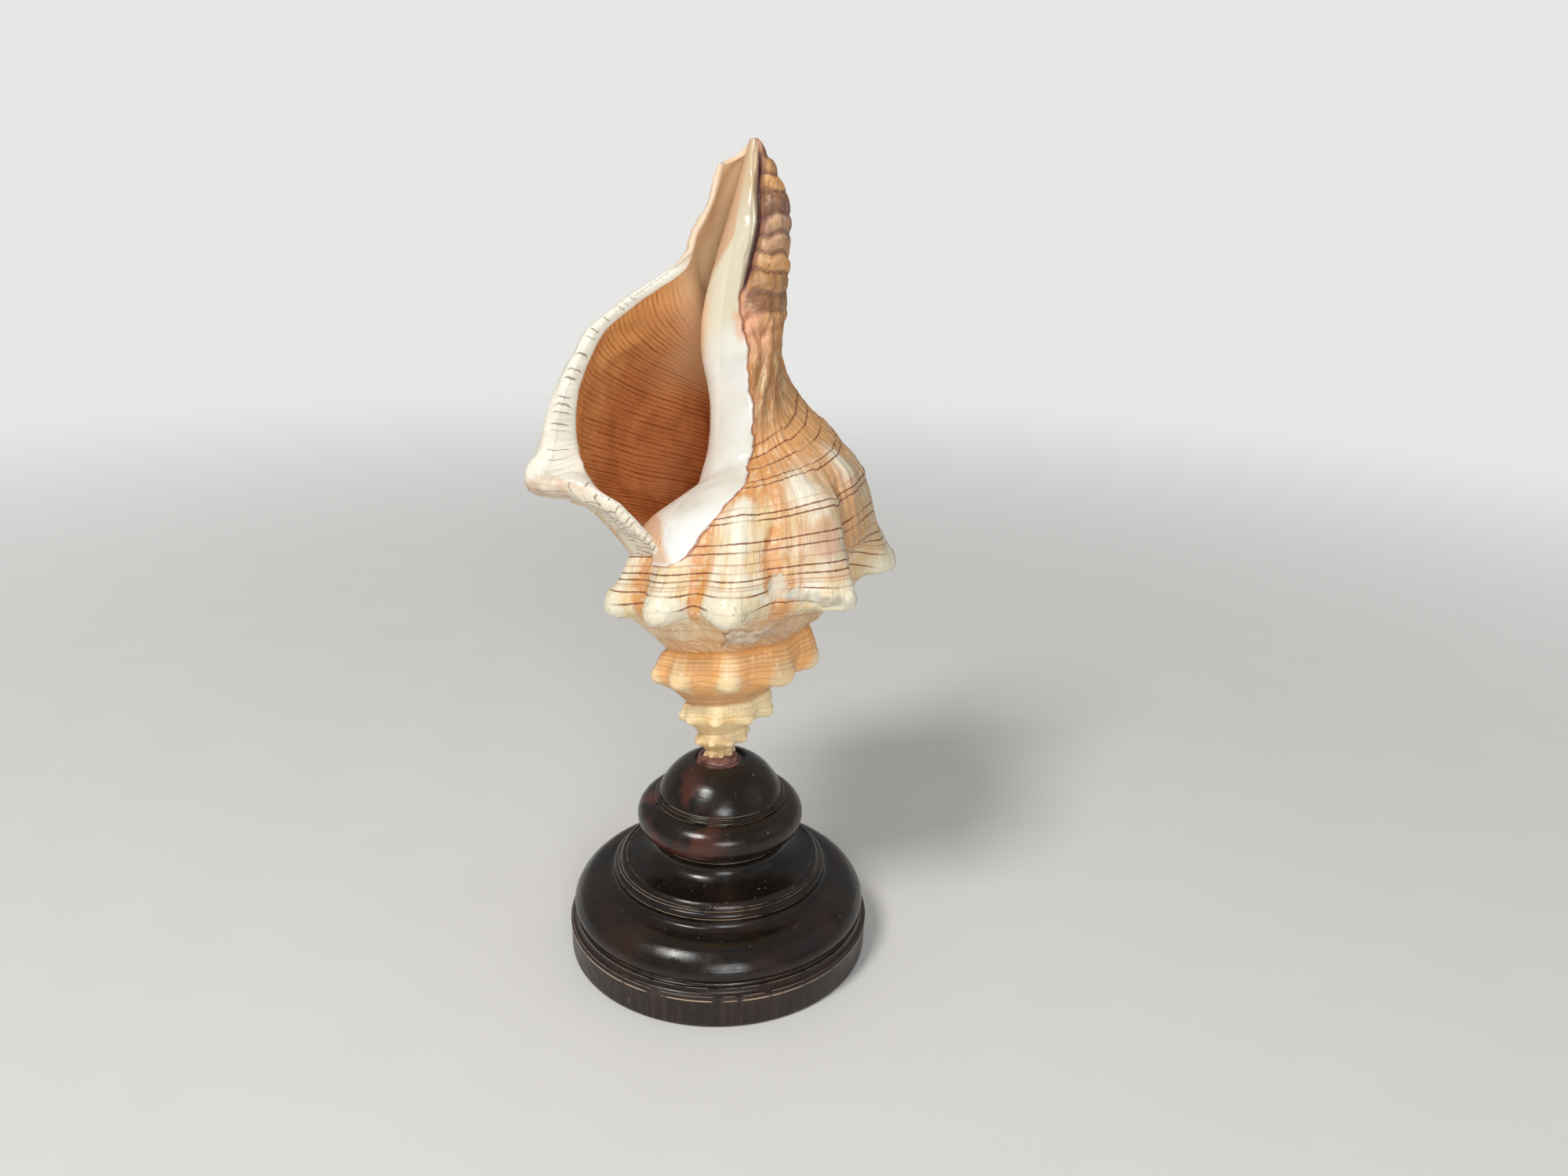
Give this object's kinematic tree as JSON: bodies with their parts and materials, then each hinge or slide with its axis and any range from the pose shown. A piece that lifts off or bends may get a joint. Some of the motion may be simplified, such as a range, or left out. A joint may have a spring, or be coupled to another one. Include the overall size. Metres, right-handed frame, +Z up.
{
  "type": "horse conch shell on a turned stand",
  "caption": "Knobbed horse conch shell with a cream and orange whorl and an open orange aperture, standing apex down on a turned black wooden stand.",
  "frame": {"origin": "middle of the stand's flat underside, on the stand's turning axis", "axes": "+Z up along the stand's axis and nearly along the shell's, its apex down; the aperture opens toward -Y with the outer lip at -X"},
  "size_m": [0.0878, 0.0882, 0.1962],
  "materials": {
    "shell_cream": "cream and orange shell, porcelain gloss inside the lip",
    "seat_resin": "dark brown glossy resin",
    "ebonised_wood": "polished near-black hardwood with worn brown edges"
  },
  "bodies": {
    "root": {"shell": "shell_cream", "seat": "seat_resin", "stand": "ebonised_wood"}
  },
  "joints": []
}
